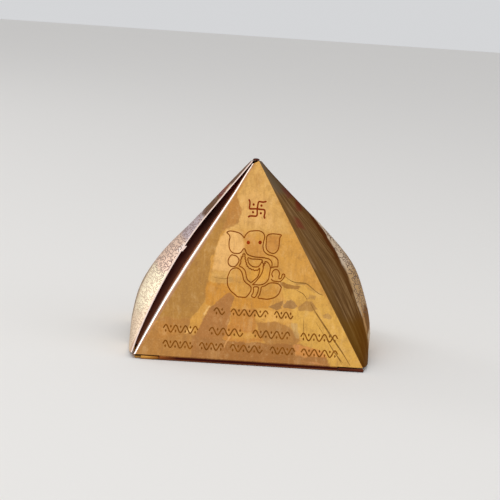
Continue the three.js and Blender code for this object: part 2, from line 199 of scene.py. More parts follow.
# Stains and bright places on the front panel. Each has a convex outline (across, up) in millimetres, a
# colour, a strength, and the softness of its border in millimetres.
FACE_STAINS = (
    (((-13, 48), (-9, 61), (-3, 74), (0, 74), (9, 56), (13, 47)), LIGHT, 0.9, 1.5),
    (((-9, 50), (-8, 59), (-3, 63), (3, 60), (6, 50)), PALE, 0.5, 2.5),
    (((-12, 60), (-3.6, 73.6), (-2.4, 73.6), (-9.4, 60)), TAN, 0.5, 0.5),
    (((-3.4, 68), (-1.6, 69.6), (0.8, 66), (-1.4, 63.6)), TAN, 0.35, 1),
    (((-18, 54), (-11, 64), (-9.6, 61), (-8, 57), (-7.2, 54), (-8.2, 50.6), (-11, 48.6), (-14, 47)),
     TAN, 0.9, 0.35),
    (((-11.5, 61), (-9, 60), (-7.6, 54), (-9.6, 50), (-12.4, 49), (-12.6, 55)), AMBER, 0.35, 0.4),
    (((-46, 14), (-26, 40.5), (-15.8, 40.5), (-17.6, 31), (-19.4, 24), (-19.8, 20.5), (-23.2, 15.6),
      (-30, 13.5)),
     OLIVE, 1, 0.3),
    (((-28, 38), (-16, 57), (-12.9, 54), (-13.4, 48), (-16.4, 40), (-17, 38)), OLIVE, 1, 0.3),
    (((-42, 16), (-30, 36), (-22, 36), (-22, 16)), shade(170, 122, 60), 0.4, 4),
    (((-16.2, 41), (-12.8, 47.6), (-6.4, 47.4), (-5.6, 41), (-7.2, 36), (-10.5, 32.6), (-17.2, 32.8)),
     PALE, 1, 0.5),
    (((-17.4, 32.4), (-10.5, 32.8), (-9, 29), (-18.2, 28.4)), LIGHT, 0.8, 0.7),
    (((-17.6, 30.9), (-9.6, 31.2), (-9.6, 29.2), (-17.9, 29)), OLIVE, 0.3, 0.25),
    (((-19.4, 28.4), (-9.5, 28.6), (-7.5, 24.4), (-13.6, 22), (-19.5, 20)), HONEY, 0.9, 0.4),
    (((-12, 28.5), (-5, 28), (-5, 24), (-9, 25)), GOLD, 0.6, 0.8),
    (((8, 47), (13, 47), (26, 27), (22, 22), (9, 33)), GOLD, 0.6, 1.2),
    (((9, 33), (26, 27), (31, 21), (30, 20), (11, 24)), LEMON, 0.8, 0.6),
    (((-46, 1), (-43, 8), (-36, 15), (-24, 15), (-23, 9), (-24, 1)), TAN, 0.95, 0.6),
    (((-37, 13), (-31, 13.5), (-30, 9), (-36, 8)), AMBER, 0.4, 1),
    (((-20, 21), (-17, 20.2), (-20.3, 15), (-22.3, 10), (-26.3, 9.8), (-24.4, 15)), GOLD, 0.95, 0.3),
    (((-26.2, 10), (-24.6, 12.4), (-22.8, 11.6), (-23.2, 9.9)), PALE, 0.9, 0.3),
    (((-9, 19.8), (-9.5, 13), (0.5, 12), (0.6, 19.8)), AMBER, 0.9, 0.4),
    (((-8.5, 24), (6, 24.2), (5, 20.2), (-8.8, 20)), HONEY, 0.9, 0.4),
    (((0.6, 19.8), (14, 20), (14.4, 16.2), (3.5, 15.8), (0.5, 16.5)), shade(222, 165, 82), 0.9, 0.4),
    (((-12.5, 8.4), (18, 8.4), (28.6, 4.8), (31, 1), (-12.5, 1)), BROWN, 1, 0.3),
    (((-11.8, 12.4), (-8, 14), (0, 13.6), (3.4, 11), (3.2, 8.8), (-3, 8.3), (-11.4, 8.4)), AMBER, 1, 0.25),
    (((-9, 11.6), (0, 12), (2.2, 10.2), (-2, 9.2), (-8.5, 9)), LEMON, 0.45, 0.7),
    (((0.6, 15.5), (9, 16), (14.2, 14.2), (17.8, 10), (16.2, 8.4), (5, 8), (2.6, 10.4)), TAN, 0.95, 0.3),
    (((14.3, 21.5), (24, 22.5), (32, 20), (37, 11), (18.2, 11), (14.3, 14.6)), LEMON, 0.95, 0.3),
    (((18.3, 11.4), (36, 12.5), (39.6, 6.4), (27.5, 6.4), (18.3, 8.4)), LEMON, 0.95, 0.25),
    (((27.7, 6.8), (39, 7.2), (43, 0), (29.8, 0)), LEMON, 0.95, 0.25),
    (((-18, 18.6), (-15.6, 21.6), (-10.4, 24.9), (-8.4, 24), (-9.2, 18), (-10.2, 12), (-12.2, 7.8),
      (-23, 8.8)),
     MAUVE, 1, 0.2),
    (((-23.2, 9.4), (-11.8, 8.6), (-12, 1), (-24, 1)), shade(168, 113, 60), 1, 0.35),
    (((-17.6, 20.4), (-17.1, 20.2), (-19.4, 16.6), (-19.9, 16.9)), shade(238, 190, 120), 0.7, 0.12),
    (((-9.6, 10.4), (-9, 10.2), (-11, 5.4), (-11.7, 5.7)), shade(226, 164, 98), 0.6, 0.15),
    (((15.6, 8.4), (27.4, 6.7), (28.6, 5), (16.6, 4.6)), RUST, 0.9, 0.3),
    (((16.2, 8.6), (18, 8.2), (17.6, 6), (16.6, 6)), shade(214, 146, 90), 0.7, 0.4),
    (((17, 4.9), (28.2, 4.9), (30, 2), (30, 1), (15, 1)), MAUVE, 0.8, 0.35),
    (((12.6, 4.5), (17, 3.7), (27.4, 2.6), (27.4, 2.2), (17, 3), (12.4, 4.1)),
     shade(208, 140, 84), 0.6, 0.15),
    (((5, 21.1), (7.8, 22.8), (10.3, 23.5), (10.4, 20.9), (8, 20.5)), shade(158, 112, 62), 0.9, 0.15),
    (((10.7, 22.2), (11.9, 23.8), (14.2, 24), (16.5, 22.3), (15.4, 21), (11.2, 20.9)),
     shade(160, 116, 68), 0.9, 0.12),
    (((16.8, 20.5), (17, 23), (19.2, 23.3), (20.6, 24.4), (24, 21.4), (22, 20.1), (18, 19.9)),
     shade(168, 120, 64), 0.75, 0.2),
    (((20, 24.4), (21, 26), (23.2, 26), (22.6, 24.6)), GREY, 0.55, 0.25),
    (((9.4, 28.6), (9.8, 29.9), (14, 29.6), (17.2, 28.7), (16.4, 27.5), (12.4, 27.9)),
     shade(160, 108, 45), 1, 0.2),
    (((14.5, 30), (17, 30.5), (19.4, 30.1), (19, 29.4), (16, 29.3)), GREY, 0.6, 0.25),
    (((19.4, 29), (22, 28.6), (26.4, 26.8), (25.6, 26.2), (21.6, 27.6)), GREY, 0.35, 0.3),
    (((-11, 30.8), (-6, 31), (-6.2, 28.8), (-9.7, 29)), GREY, 0.2, 0.3),
    (((13.8, 16.2), (18.2, 16.2), (17.4, 12.6), (17.8, 10.6), (16, 11)), shade(200, 158, 98), 0.8, 0.25),
    (((26, 19.2), (28, 20), (30.2, 19.2), (28.6, 18.2), (26.6, 18.2)), GREY, 0.6, 0.2),
    (((-5, 46.5), (1.8, 47.2), (2.6, 42), (7.6, 38.6), (5.8, 37.8), (-3.4, 38.8), (-5.4, 42)),
     AMBER, 0.55, 0.6),
    (((3.6, 46.8), (8.4, 46.8), (8, 42), (5, 40.4), (3.3, 42)), AMBER, 0.75, 0.4),
    (((-4, 34), (0.6, 34.4), (4.8, 36), (4.6, 31), (0.4, 28.8), (-3.8, 31)), shade(221, 158, 62), 0.7, 0.6),
    (((2.4, 27.6), (8.6, 28.8), (9.4, 27), (6, 24.4), (1.6, 24.4)), HONEY, 0.6, 0.6),
)

# The pinkish line along the front panel's left edge
EDGE_STAINS = (
    (((-47, 0), (-45.6, 0), (-24.8, 36), (-25.8, 36)), PINK, 0.6, 0.3),
    (((-26, 35.5), (-25, 35.5), (-3.2, 72), (-4.4, 72)), PINK, 0.6, 0.3),
)

# Bands on the left panel, and two patches of painted light, with outlines (rearwards, up)
LEFT_STAINS_AND_PAINTED_LIGHT = (
    (((-34, 31), (-31, 12), (-12, 12), (-4, 31)), shade(255, 246, 220), 0.9, 3),
    (((-50, 0), (-45, 8), (-34, 14), (-8, 13), (-6, 0)), shade(255, 236, 212), 0.95, 2.5),
    (((-30, 30.5), (-18, 45), (34, 45), (40, 30.5)), shade(248, 222, 204), 0.9, 1),
    (((-23, 42.5), (-12, 54), (28, 54), (34, 42.5)), shade(212, 202, 210), 0.9, 1),
    (((-17, 51.8), (-8, 61), (16, 61), (22, 51.8)), shade(122, 96, 78), 0.95, 0.8),
    (((-11, 59), (-3, 67), (12, 67), (16, 59)), shade(146, 84, 76), 0.9, 0.8),
    (((-8, 64), (-4, 78), (6, 78), (12, 64)), shade(116, 88, 80), 0.9, 0.8),
    # A painted reflection: the dark olive band low at the rear
    (((-20, 0), (-10, 16), (-4, 28), (18, 28), (22, 0)), shade(84, 74, 58), 0.9, 4),
    (((-50, 0), (-44, 7), (-41, 8), (-38, 0)), shade(222, 190, 166), 0.8, 1),
    # A painted highlight: the glint on the catch tab
    (((-25, 38), (-24, 41.5), (-19.5, 41.5), (-20, 38)), shade(255, 246, 238), 0.8, 0.5),
)

# Stains on the right panel, a few of them painted reflections, with outlines (rearwards, up): those under
# its streaky brown, which is a painted dark reflection, the outlines of that brown, and those over it
RIGHT_STAINS_AND_PAINTED_LIGHT = (
    (((-16, 33), (8, 36), (8, 15), (-18, 15)), shade(224, 186, 134), 0.85, 2.5),
    # A painted reflection: the warm tone the panel shows near its silhouette, seen edge-on
    (((-3, 12), (-1.5, 38), (9, 38), (9, 12)), shade(206, 164, 112), 0.6, 3.5),
    (((-30, -3), (-22, 4.2), (-12, 4.2), (0, 1), (0, -3)), shade(146, 112, 76), 0.8, 1),
    (((-20, 16), (-9, 19.5), (6, 15), (6, 12), (-20, 9.5)), shade(150, 104, 58), 0.9, 0.9),
    (((-22, 5), (-4, 10.5), (10, 13), (14, 6), (-16, 1)), shade(230, 194, 160), 0.9, 1.2),
)
RIGHT_DARK_REFLECTION = (
    ((-52, -3), (-34, 27), (-15.6, 27), (-24.3, -3)),
    ((-38, 24), (-24, 41), (-8, 41), (-16.6, 25)),
    ((-28, 37), (-4, 76), (3, 76), (2, 53), (-10.2, 37)),
)
RIGHT_MARKS_AND_PAINTED_LIGHT = (
    (((-15.5, 25), (-12.8, 24), (-17, 12), (-24, 5), (-26, 6), (-20.5, 13)), shade(222, 178, 130), 0.9, 0.6),
    (((-48, -3), (-44.2, -3), (-23, 34), (-25, 36)), shade(116, 80, 34), 0.65, 1),
    (((-27, 28), (-25.2, 28), (-4.2, 69), (-5.5, 73)), shade(124, 87, 42), 0.6, 1),
    (((-12, 38), (-3.4, 52), (1.5, 54.5), (-0.4, 50), (-9.4, 38)), shade(108, 66, 36), 0.85, 0.5),
    (((-19, 25), (-12.6, 38.6), (-9.6, 39), (-9.4, 38), (-15, 26)), shade(110, 74, 42), 0.75, 0.9),
    (((-42, 3), (-34, 17), (-21, 17), (-18, 3)), shade(134, 94, 36), 0.7, 2.5),
    (((-8, 62), (-2, 76), (1, 76), (5, 61)), shade(118, 104, 86), 0.75, 1.2),
    # A painted reflection: the grey the panel shows near its silhouette at the top, seen edge-on
    (((-1, 53), (-1, 78), (6, 78), (8, 53)), shade(118, 92, 80), 0.75, 1.2),
    (((-14.6, 50), (-11.6, 53.5), (-10.4, 52.4), (-13, 49)), shade(136, 50, 44), 0.55, 0.7),
    (((-8, 55.4), (-3, 58.4), (2, 59), (0, 57), (-5, 54.8)), shade(134, 54, 48), 0.55, 0.7),
    (((-6, 60), (-3.5, 63.6), (1, 63), (0, 60.6)), shade(132, 78, 72), 0.6, 0.6),
)


def patch(tree, flat, outline):
    """How far out of a convex outline a place on a panel is, in millimetres."""
    middle = [sum(p[k] for p in outline) / len(outline) for k in (0, 1)]
    sides = []
    for (x0, z0), (x1, z1) in zip(outline, outline[1:] + outline[:1]):
        length = math.hypot(x1 - x0, z1 - z0)
        nx, nz = (z1 - z0) / length, (x0 - x1) / length
        reach = nx * x0 + nz * z0
        if nx * middle[0] + nz * middle[1] > reach:
            nx, nz, reach = -nx, -nz, -reach
        sides.append(vector_math(tree, "DOT_PRODUCT", flat, (nx, -reach, nz), output="Value"))
    return furthest(tree, "MAXIMUM", sides)


def stained(tree, flat, paint, stains):
    """A paint with patches on it: stains, and on the bowed panels a few painted highlights and reflections.
    """
    for outline, stain, strength, soft in stains:
        away = patch(tree, flat, outline)
        paint = mix(tree, span(tree, away, -soft, soft, strength, 0, True), paint, stain)
    return paint


def wandering(tree, spot, reach, across="X"):
    """Flat millimetre coordinates of a panel that wander a little, for the ragged edges of stains and of
    painted reflections.
    """
    drift = vector_math(tree, "SUBTRACT", noise(tree, spot, 170, 5, 0.62, output="Color"), (0.5, 0.5, 0.5))
    ragged = vector_math(tree, "ADD", vector_math(tree, "MULTIPLY", drift, (reach, reach, reach)),
                         millimetres(tree, spot))
    parts = parts_of(tree, ragged)
    return joined(tree, parts[across], 1, parts["Z"])


def golden_face_finish(colour):
    material, tree, shader, place = new_material("golden_face_metal", 0.88, 0.34)
    spot = place["Object"]
    cloud = noise(tree, spot, 60, 5, 0.65)
    fine = noise(tree, spot, 420, 5, 0.65)
    paint = stained(tree, wandering(tree, spot, 3.4), colour, FACE_STAINS)
    x, _, z = parts_of(tree, millimetres(tree, spot))
    paint = stained(tree, joined(tree, x, 1, z), paint, EDGE_STAINS)
    grain = noise(tree, spot, 1300, 3, 0.7)
    brushed = noise(tree, stretched(tree, spot, (1500, 300, 110)), 1, 3, 0.6)
    upright = noise(tree, stretched(tree, spot, (420, 300, 55)), 1, 4, 0.6)
    dirt = (0.3, 0.14, 0.045)
    paint = layered(tree, paint, (
        (cloud, 0.5, 0.72, 0, 0.16, (0.3, 0.16, 0.05)),
        (cloud, 0.28, 0.45, 0.16, 0, (0.9, 0.55, 0.2)),
        (fine, 0.52, 0.76, 0, 0.4, (0.26, 0.12, 0.04)),
        (fine, 0.24, 0.42, 0.22, 0, (0.95, 0.62, 0.28)),
        (grain, 0.52, 0.74, 0, 0.3, dirt),
        (grain, 0.26, 0.46, 0.13, 0, (1, 0.68, 0.32)),
        (brushed, 0.54, 0.74, 0, 0.3, dirt),
        (upright, 0.5, 0.7, 0, 0.26, dirt),
        (upright, 0.3, 0.46, 0.16, 0, (0.9, 0.6, 0.28)),
    ))
    # The bend at the left edge gets a pale painted highlight, then painted shade, brown and then dark,
    # towards the flange, and both start later near the foot
    turned = parts_of(tree, place["Normal"])
    sideways = calc(tree, "MULTIPLY", turned["X"], -1)
    bright = calc(tree, "SUBTRACT", sideways, span(tree, z, 20, 30, 0.08, 0))
    bent = calc(tree, "SUBTRACT", sideways, span(tree, z, 20, 30, 0.24, 0))
    paint = layered(tree, paint, (
        (bright, 0.02, 0.2, 0, 1, (0.95, 0.9, 0.84)),
        (bent, 0.38, 0.5, 0, 1, (0.32, 0.11, 0.045)),
        (sideways, 0.7, 0.84, 0, 1, (0.26, 0.08, 0.032)),
    ))
    # The flange deepest in the gap gets the darkest painted shade
    paint = mix(tree, span(tree, sideways, 0.88, 0.99, 0, 1, True), paint, (0.2, 0.06, 0.026))
    # The inside is coppery, and the foot's barrel gets painted shade from the panel's lip, fading out at the
    # left where light reaches it, with a browner band at the bottom
    dark = mix(tree, span(tree, x, -36, -29), (0.27, 0.07, 0.01), (0.045, 0.002, 0))
    paint = layered(tree, paint, (
        (turned["Y"], 0.05, 0.3, 0, 1, (0.4, 0.15, 0.08)),
        (z, 1.4, 1.6, 1, 0, dark),
        (z, 0.4, 0.7, 1, 0, (0.34, 0.11, 0.04)),
    ))
    polished = span(tree, sideways, 0.1, 0.4, 0, 0.1)
    dull = calc(tree, "SUBTRACT", span(tree, cloud, 0.3, 0.7, 0.3, 0.4), polished)
    streaks = noise(tree, stretched(tree, spot, (1200, 90, 90)), 1, 3)
    relief = bump(tree, calc(tree, "ADD", streaks, fine), 0.12, 0.05 * MM)
    metallic = span(tree, bent, 0.36, 0.46, 0.88, 0)
    feed(shader, {"Base Color": paint, "Metallic": metallic, "Roughness": dull, "Normal": relief})
    return material


def dark_reflection_streaks(tree, spot):
    """Brown streaks of a painted dark reflection, running up a side panel and gathering towards its tip."""
    _, y, z = parts_of(tree, spot)
    half = calc(tree, "SUBTRACT", FOOT_HALF * MM, calc(tree, "MULTIPLY", z, SLOPE))
    share = calc(tree, "DIVIDE", calc(tree, "SUBTRACT", y, MIDDLE_Y * MM), half)
    way = joined(tree, calc(tree, "MULTIPLY", share, 26), 0, calc(tree, "MULTIPLY", z, 60))
    return ramp(tree, noise(tree, way, 1, 6, 0.65),
                [(0.32, shade(92, 60, 28)), (0.5, shade(126, 91, 52)), (0.66, shade(168, 132, 90))])


def panel_finish(name, colour, stains=(), dark_reflection=(), inside=(1, 0, 0), across="Y", marks=(),
                 cut=shade(240, 216, 204)):
    """Coppery sheet with stains and marks, a few of them painted light, and outlines of a streaky painted
    dark reflection; inside points into the pyramid.
    """
    material, tree, shader, place = new_material(name, 1, 0.45)
    spot = place["Object"]
    flat = wandering(tree, spot, 3, across)
    cloud = noise(tree, spot, 90, 5, 0.65)
    fine = noise(tree, spot, 800, 4, 0.7)
    paint = stained(tree, flat, colour, stains)
    paint = mix(tree, span(tree, cloud, 0.5, 0.7, 0, 0.2), paint, scaled(colour, 0.6))
    paint = mix(tree, span(tree, fine, 0.5, 0.72, 0, 0.3), paint, (0.28, 0.16, 0.12))
    # The streaky brown inside these outlines is a painted dark reflection
    if dark_reflection:
        away = furthest(tree, "MINIMUM", [patch(tree, flat, outline) for outline in dark_reflection])
        paint = mix(tree, span(tree, away, -0.6, 0.6, 0.97, 0, True), paint, dark_reflection_streaks(tree, spot))
    paint = stained(tree, flat, paint, marks)
    facing = vector_math(tree, "DOT_PRODUCT", place["Normal"], inside, output="Value")
    paint = mix(tree, span(tree, facing, 0.1, 0.4), paint, (0.5, 0.2, 0.12))
    if across == "Y":
        edge = parts_of(tree, place["Normal"])["Y"]
        paint = mix(tree, span(tree, edge, -0.84, -0.8, 1, 0), paint, cut)
    feed(shader, {"Base Color": paint, "Specular Tint": (0.3, 0.22, 0.15),
                  "Roughness": span(tree, cloud, 0.3, 0.7, 0.56, 0.46),
                  "Normal": bump(tree, fine, 0.3, 0.06 * MM)})
    return material


def sheet_finish(name, colour, dark, roughness, scale):
    """Plain sheet or wire, clouded between two colours."""
    material, tree, shader, place = new_material(name, 0.95, roughness)
    spot = place["Object"]
    cloud = noise(tree, spot, scale, 5, 0.6)
    grain = noise(tree, stretched(tree, spot, (300, 300, 1500)), 1, 3)
    feed(shader, {"Base Color": ramp(tree, cloud, [(0.3, dark), (0.68, colour)]),
                  "Roughness": span(tree, cloud, 0.3, 0.7, roughness + 0.1, roughness - 0.06),
                  "Normal": bump(tree, grain, 0.12, 0.04 * MM)})
    return material


def lug_shade_finish(gold):
    """Brass with painted shade that darkens it towards the front panel's barrel, under the panel's lip."""
    material, tree, shader, place = new_material("left_lug_shaded_metal", 0.95, 0.42)
    inward = span(tree, parts_of(tree, place["Object"])["X"], -42.5 * MM, -35.9 * MM)
    feed(shader, {"Base Color": ramp(tree, inward, [(0.3, gold), (1, (0.28, 0.085, 0.012))])})
    return material


def shaded_strip_finish():
    """Metal painted dark as shade, browner beside the front panel's left edge as a painted reflection of its
    bend, and redder near the tip.
    """
    material, tree, shader, place = new_material("stop_strip_shaded_metal", 0.5, 0.5)
    edge_at_foot, edge_slant = 46.6, 0.606
    x, _, z = parts_of(tree, millimetres(tree, place["Object"]))
    edge = calc(tree, "SUBTRACT", edge_at_foot, calc(tree, "MULTIPLY", z, edge_slant))
    near = span(tree, calc(tree, "ADD", x, edge), -4.5, -0.3)
    high = ramp(tree, near, [(0, (0.019, 0.004, 0.002)), (0.4, (0.045, 0.013, 0.007)),
                             (0.7, (0.1, 0.03, 0.013)), (1, (0.26, 0.08, 0.025))])
    low = ramp(tree, near, [(0, (0.06, 0.013, 0.008)), (0.4, (0.11, 0.032, 0.016)),
                            (0.7, (0.17, 0.055, 0.024)), (1, (0.34, 0.12, 0.045))])
    paint = mix(tree, span(tree, z, 38, 52), low, high)
    paint = mix(tree, span(tree, z, 54, 66), paint, (0.1, 0.01, 0.008))
    feed(shader, {"Base Color": paint, "Specular IOR Level": 0.1})
    return material


def fill_finish(name, colour, pale):
    """The fill of engraved lines, clouded between two colours."""
    material, tree, shader, place = new_material(name, 0.2, 0.6)
    cloud = noise(tree, place["Object"], 330, 4, 0.6)
    paint = ramp(tree, cloud, [(0.36, colour), (0.66, pale)])
    feed(shader, {"Base Color": paint, "Specular IOR Level": 0.05})
    return material


def mark_finish(name, high, low, turn):
    """The fill of small marks, one colour above a height in metres and another below it."""
    material, tree, shader, place = new_material(name, 0.3, 0.55)
    spot = place["Object"]
    paint = mix(tree, span(tree, parts_of(tree, spot)["Z"], turn - 0.002, turn + 0.002), low, high)
    worn = span(tree, noise(tree, spot, 300, 4, 0.6), 0.4, 0.65, 0, 0.35)
    feed(shader, {"Base Color": mix(tree, worn, paint, shade(214, 186, 160)), "Specular IOR Level": 0.1})
    return material


# Lines that lie on a face

class Face:
    """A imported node's outside, met by looking along one direction from FAR metres away."""
    FAR = 0.2

    def __init__(self, node, look, across):
        mesh = NODES[node].data
        self.tree = BVHTree.FromPolygons([v.co for v in mesh.vertices], [p.vertices for p in mesh.polygons])
        self.look = Vector(look)
        self.across = Vector(across)
        self.up = Vector((0, 0, 1))

    def point(self, a, b):
        """The point and outward normal at a across and b up, in millimetres, or nothing off the edge."""
        start = (self.across * a + self.up * b) * MM - self.look * self.FAR
        hit, normal, _, _ = self.tree.ray_cast(start, self.look)
        if hit is None:
            return None
        if normal.dot(self.look) > 0:
            normal.negate()
        return hit, normal


def smooth_path(points, steps=4, closed=False):
    """A Catmull-Rom curve through flat points."""
    if len(points) < 3:
        return list(points)
    count = len(points)
    result = []
    for i in range(count if closed else count - 1):
        if closed:
            p = [points[(i + k) % count] for k in (-1, 0, 1, 2)]
        else:
            p = [points[max(0, i - 1)], points[i], points[i + 1], points[min(count - 1, i + 2)]]
        for s in range(steps):
            t = s / steps
            result.append(tuple(
                0.5 * (2 * p[1][k] + (p[2][k] - p[0][k]) * t
                       + (2 * p[0][k] - 5 * p[1][k] + 4 * p[2][k] - p[3][k]) * t * t
                       + (3 * p[1][k] - p[0][k] - 3 * p[2][k] + p[3][k]) * t ** 3)
                for k in (0, 1)))
    result.append(points[0] if closed else points[-1])
    return result


def ribbon(mesh, face, path, width, rise, taper=False, broad=1):
    """A shallow bar along a flat path, laid on a face; broad widens its upright strokes."""
    rings = []
    last = len(path) - 1
    for i, (a, b) in enumerate(path):
        a0, b0 = path[max(0, i - 1)]
        a1, b1 = path[min(last, i + 1)]
        length = math.hypot(a1 - a0, b1 - b0) or 1.0
        na, nb = -(b1 - b0) / length, (a1 - a0) / length
        reach = width / 2 * (0.25 + 0.75 * math.sin(math.pi * i / last) if taper else 1)
        ends = [face.point(a + na * reach * broad * k, b + nb * reach * k) for k in (-1, 1)]
        if None in ends:
            if len(rings) > 1:
                bar(mesh, rings)
            rings = []
            continue
        ring = [hit + normal * h * MM for hit, normal, h in
                ((*ends[0], -FILL_SINK), (*ends[0], rise * 0.6),
                 (*ends[1], rise * 0.6), (*ends[1], -FILL_SINK))]
        ring.insert(2, (ends[0][0] + ends[1][0]) / 2 + ends[0][1] * rise * MM)
        rings.append(ring)
    if len(rings) > 1:
        bar(mesh, rings)


def bar(mesh, rings):
    """A solid bar through rings of points, closed at both ends."""
    made = [[mesh.verts.new(p) for p in ring] for ring in rings]
    size = len(made[0])
    for first, second in zip(made, made[1:]):
        for k in range(size):
            mesh.faces.new((first[k], first[(k + 1) % size], second[(k + 1) % size], second[k]))
    mesh.faces.new(list(reversed(made[0])))
    mesh.faces.new(made[-1])


def dot(mesh, face, a, b, radius, rise):
    """A round spot on a face."""
    corners = 10
    turns = [k * math.tau / corners for k in range(corners)]
    hits = [face.point(a + radius * math.cos(turn), b + radius * math.sin(turn)) for turn in turns]
    middle = face.point(a, b)
    if None in hits or middle is None:
        raise RuntimeError(f"the spot at {a}, {b} lies off the panel")
    low = [mesh.verts.new(hit - normal * FILL_SINK * MM) for hit, normal in hits]
    high = [mesh.verts.new(hit + normal * rise * 0.6 * MM) for hit, normal in hits]
    top = mesh.verts.new(middle[0] + middle[1] * rise * MM)
    for k in range(corners):
        n = (k + 1) % corners
        mesh.faces.new((low[k], low[n], high[n], high[k]))
        mesh.faces.new((high[k], high[n], top))
    mesh.faces.new(list(reversed(low)))


def finish_piece(name, mesh, body, material):
    """A new object from a drawn mesh, riding on a body, with its material."""
    bmesh.ops.recalc_face_normals(mesh, faces=mesh.faces)
    data = bpy.data.meshes.new(name)
    mesh.to_mesh(data)
    mesh.free()
    piece = bpy.data.objects.new(name, data)
    bpy.context.scene.collection.objects.link(piece)
    data.materials.append(material)
    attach(piece, body)
    return piece


def dress(nodes, material):
    for name in nodes:
        node = NODES[name]
        node.data.materials.clear()
        node.data.materials.append(material)


def front_face():
    return Face("front_panel", (0, 1, 0), (1, 0, 0))


def engraved(name, mesh, fill, colour, pale):
    """A piece of engraving on the front panel, with its fill and how much paler that is in places."""
    finish_piece(name, mesh, "front_door", fill_finish(fill, colour, scaled(colour, pale)))


class PyramidFinishes(PropertyGroup):
    face_colour: FloatVectorProperty(
        name="Front panel", description="Colour of the front panel's metal", subtype="COLOR",
        default=shade(209, 151, 70), min=0, max=1)
    panel_colour: FloatVectorProperty(
        name="Bowed panels", description="Colour of the bowed panels' metal", subtype="COLOR",
        default=shade(246, 226, 200), min=0, max=1)
    copper_colour: FloatVectorProperty(
        name="Copper", description="Colour of the small pyramids and strips", subtype="COLOR",
        default=(0.5, 0.24, 0.14), min=0, max=1)
    sign_colour: FloatVectorProperty(
        name="Sign fill", description="Colour in the sign's lines", subtype="COLOR",
        default=(0.23, 0.026, 0.001), min=0, max=1)
    figure_colour: FloatVectorProperty(
        name="Figure fill", description="Colour in the figure's lines", subtype="COLOR",
        default=(0.21, 0.052, 0.002), min=0, max=1)


class PyramidEngraving(PropertyGroup):
    sign_width: FloatProperty(
        name="Sign line", description="Width of the sign's lines, in millimetres",
        default=0.62, min=0.1, max=2)
    figure_width: FloatProperty(
        name="Figure line", description="Width of the figure's lines, in millimetres",
        default=0.42, min=0.1, max=2)
    line_rise: FloatProperty(
        name="Fill height", description="How far the fill stands above the metal, in millimetres",
        default=0.04, min=0.01, max=0.3)
    mark_pitch: FloatProperty(
        name="Mark spacing", description="Spacing of the marks on the bowed panels, in millimetres",
        default=1.2, min=0.8, max=6)


class PYRAMID_OT_front_panel(Operator):
    """Finish the front panel and its hinge barrel"""
    bl_idname = "pyramid.front_panel"
    bl_label = "Front Panel"

    def execute(self, context):
        dress(["front_panel"], golden_face_finish(tuple(context.scene.pyramid_finishes.face_colour)))
        return {"FINISHED"}


class PYRAMID_OT_bowed_panels(Operator):
    """Finish the left, right and rear panels"""
    bl_idname = "pyramid.bowed_panels"
    bl_label = "Bowed Panels"

    def execute(self, context):
        colour = tuple(context.scene.pyramid_finishes.panel_colour)
        dress(["left_panel"], panel_finish("left_panel_metal", colour, LEFT_STAINS_AND_PAINTED_LIGHT))
        dress(["right_panel"], panel_finish("right_panel_metal", colour, RIGHT_STAINS_AND_PAINTED_LIGHT, RIGHT_DARK_REFLECTION,
                                            (-1, 0, 0), marks=RIGHT_MARKS_AND_PAINTED_LIGHT, cut=shade(150, 110, 52)))
        dress(["rear_panel"], panel_finish("rear_panel_metal", colour, inside=(0, -1, 0), across="X"))
        return {"FINISHED"}


class PYRAMID_OT_tray_and_hinge(Operator):
    """Finish the tray, the hinge, the tip cap, the seam strips and the small pyramids"""
    bl_idname = "pyramid.tray_and_hinge"
    bl_label = "Tray and Hinge"

    def execute(self, context):
        finishes = context.scene.pyramid_finishes
        gold = tuple(finishes.face_colour)
        copper = tuple(finishes.copper_colour)
        brass = sheet_finish("brass_sheet_metal", gold, scaled(gold, 0.7), 0.36, 70)
        dress(["base_tray"], brass)
        dress(["left_hinge_lug"], lug_shade_finish(gold))
        # On the right hinge lug this dark maroon is painted shade under the front panel's lip
        maroon = sheet_finish("maroon_and_shaded_metal", (0.16, 0.04, 0.018), (0.09, 0.018, 0.008), 0.5, 90)
        dress(["right_hinge_lug", "tip_cap"], maroon)
        plain = sheet_finish("copper_metal", copper, scaled(copper, 0.65), 0.4, 80)
        dress(["pyramid_plate", "rear_left_seam_strip", "rear_right_seam_strip"]
              + [n for n in NODES if n.startswith("small_pyramid")], plain)
        wire = sheet_finish("pin_steel_metal", (0.14, 0.07, 0.045), (0.08, 0.035, 0.02), 0.4, 300)
        dress(["hinge_pin"], wire)
        return {"FINISHED"}


class PYRAMID_OT_tip_bead(Operator):
    """Shape the bead of solder over the panels' top edges"""
    bl_idname = "pyramid.tip_bead"
    bl_label = "Tip Bead"

    def execute(self, context):
        low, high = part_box("tip_cap")
        middle = (low + high) / 2
        across, along = 1.45 * MM, 1.25 * MM
        mesh = bmesh.new()
        rows, around = 7, 20
        turns = [k * math.tau / around for k in range(around)]
        rings = []
        for i in range(rows):
            rise = i / rows * math.pi / 2
            swell = (1.0 if i else 0.94) * math.cos(rise) ** 0.8
            z = low.z + (high.z - low.z) * math.sin(rise)
            rings.append([mesh.verts.new((middle.x + across * swell * math.cos(turn),
                                          middle.y + along * swell * math.sin(turn), z)) for turn in turns])
        top = mesh.verts.new((middle.x, middle.y, high.z))
        for first, second in zip(rings, rings[1:]):
            for k in range(around):
                mesh.faces.new((first[k], first[(k + 1) % around], second[(k + 1) % around], second[k]))
        for k in range(around):
            mesh.faces.new((rings[-1][k], rings[-1][(k + 1) % around], top))
        mesh.faces.new(list(reversed(rings[0])))
        for face in mesh.faces:
            face.smooth = True
        solder = sheet_finish("solder_metal", (0.12, 0.03, 0.016), (0.05, 0.012, 0.007), 0.3, 600)
        bead = finish_piece("tip_bead", mesh, "pyramid_body", solder)
        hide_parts("tip_cap")
        return {"FINISHED"}


